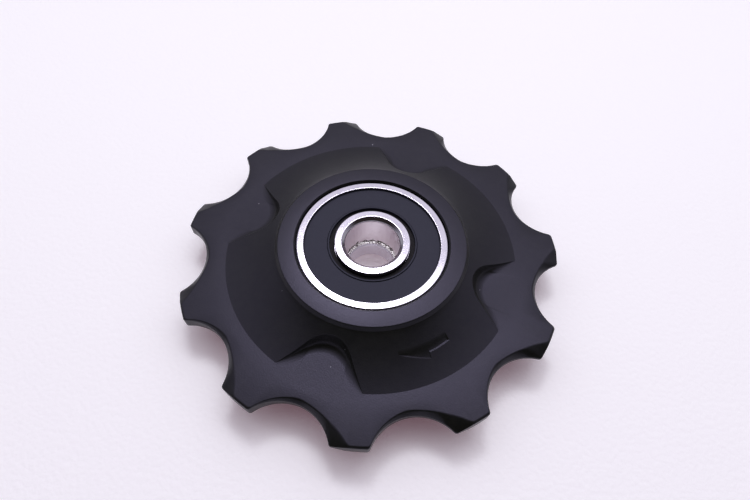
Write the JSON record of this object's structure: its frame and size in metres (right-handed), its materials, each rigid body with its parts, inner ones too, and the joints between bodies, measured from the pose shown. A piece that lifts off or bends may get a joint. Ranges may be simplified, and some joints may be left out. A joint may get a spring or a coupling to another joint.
{
  "type": "derailleur jockey wheel",
  "caption": "Toothed plastic guide wheel for a bicycle chain, with a lobed boss round a sealed ball bearing and a flanged bush in the bore.",
  "frame": {"origin": "centre of the bearing: on the wheel's axis, halfway through its width", "axes": "+Z along the wheel's axis, out of the face seen in the picture; the wheel lies flat with the flanged bush under it"},
  "size_m": [0.0427, 0.0425, 0.0072],
  "materials": {
    "moulded_plastic": "matt charcoal moulding with fine mould texture",
    "ring_steel": "ground bearing steel",
    "ball_steel": "polished bearing steel",
    "cage_steel": "pressed steel",
    "seal_rubber": "satin black nitrile rubber",
    "bush_steel": "turned steel"
  },
  "bodies": {
    "hub": {"inner_ring": "ring_steel", "lower_bush": "bush_steel"},
    "wheel": {"wheel_body": "moulded_plastic", "outer_ring": "ring_steel", "upper_seal": "seal_rubber", "lower_seal": "seal_rubber"},
    "cage": {"upper_cage": "cage_steel", "lower_cage": "cage_steel", "cage_rivets": "cage_steel"},
    "ball_1": {"ball_1": "ball_steel"},
    "ball_2": {"ball_2": "ball_steel"},
    "ball_3": {"ball_3": "ball_steel"},
    "ball_4": {"ball_4": "ball_steel"},
    "ball_5": {"ball_5": "ball_steel"},
    "ball_6": {"ball_6": "ball_steel"}
  },
  "joints": [
    {"name": "wheel_spin", "type": "hinge", "parent": "hub", "child": "wheel", "pos_m": [0, 0, 0], "axis": [0, 0, 1], "continuous": true},
    {"name": "cage_turn", "type": "hinge", "parent": "hub", "child": "cage", "pos_m": [0, 0, 0], "axis": [0, 0, 1], "continuous": true},
    {"name": "ball_1_roll", "type": "hinge", "parent": "cage", "child": "ball_1", "pos_m": [0.00575, 0, 0], "axis": [0, 0, 1], "continuous": true},
    {"name": "ball_2_roll", "type": "hinge", "parent": "cage", "child": "ball_2", "pos_m": [0.00287, 0.00498, 0], "axis": [0, 0, 1], "continuous": true},
    {"name": "ball_3_roll", "type": "hinge", "parent": "cage", "child": "ball_3", "pos_m": [-0.00287, 0.00498, 0], "axis": [0, 0, 1], "continuous": true},
    {"name": "ball_4_roll", "type": "hinge", "parent": "cage", "child": "ball_4", "pos_m": [-0.00575, 0, 0], "axis": [0, 0, 1], "continuous": true},
    {"name": "ball_5_roll", "type": "hinge", "parent": "cage", "child": "ball_5", "pos_m": [-0.00287, -0.00498, 0], "axis": [0, 0, 1], "continuous": true},
    {"name": "ball_6_roll", "type": "hinge", "parent": "cage", "child": "ball_6", "pos_m": [0.00287, -0.00498, 0], "axis": [0, 0, 1], "continuous": true}
  ],
  "couplings": [
    {"joint": "cage_turn", "follows": "wheel_spin", "ratio": 0.65217},
    {"joint": "ball_1_roll", "follows": "wheel_spin", "ratio": 1.4907},
    {"joint": "ball_2_roll", "follows": "wheel_spin", "ratio": 1.4907},
    {"joint": "ball_3_roll", "follows": "wheel_spin", "ratio": 1.4907},
    {"joint": "ball_4_roll", "follows": "wheel_spin", "ratio": 1.4907},
    {"joint": "ball_5_roll", "follows": "wheel_spin", "ratio": 1.4907},
    {"joint": "ball_6_roll", "follows": "wheel_spin", "ratio": 1.4907}
  ]
}
